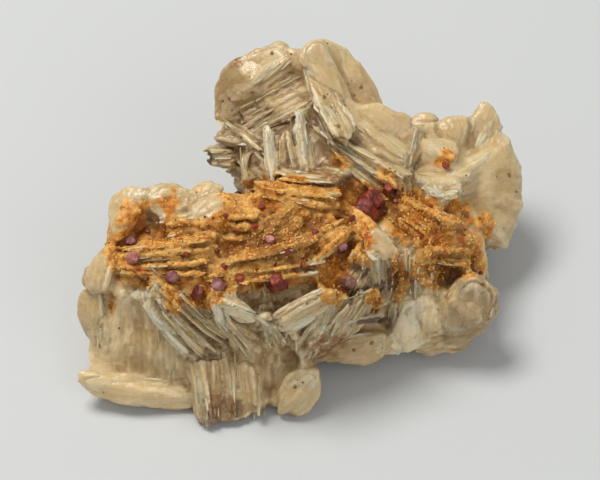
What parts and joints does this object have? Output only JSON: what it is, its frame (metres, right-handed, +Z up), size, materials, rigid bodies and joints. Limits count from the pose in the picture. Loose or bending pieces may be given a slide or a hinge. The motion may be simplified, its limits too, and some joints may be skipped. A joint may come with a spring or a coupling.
{
  "type": "mineral specimen",
  "caption": "Free-standing cluster of intergrown bladed baryte with an ochre crust and small hexagonal vanadinite crystals seated on top.",
  "frame": {"origin": "centre of the bounding box, on the plane the specimen rests on", "axes": "+X to the right along the longest side as seen from the front, +Y to the back, +Z up"},
  "size_m": [0.0875, 0.0701, 0.0458],
  "materials": {
    "baryte": "satin to vitreous cream crystal with ochre crust on top",
    "vanadinite": "vitreous deep red, slightly translucent"
  },
  "bodies": {
    "root": {"baryte": "baryte", "vanadinite_large": "vanadinite", "vanadinite_front": "vanadinite", "vanadinite_centre": "vanadinite", "vanadinite_violet": "vanadinite", "vanadinite_scarlet": "vanadinite", "vanadinite_plum": "vanadinite", "vanadinite_left": "vanadinite", "vanadinite_left_pale": "vanadinite", "vanadinite_notch": "vanadinite", "vanadinite_smoky": "vanadinite", "vanadinite_ledge": "vanadinite"}
  },
  "joints": []
}
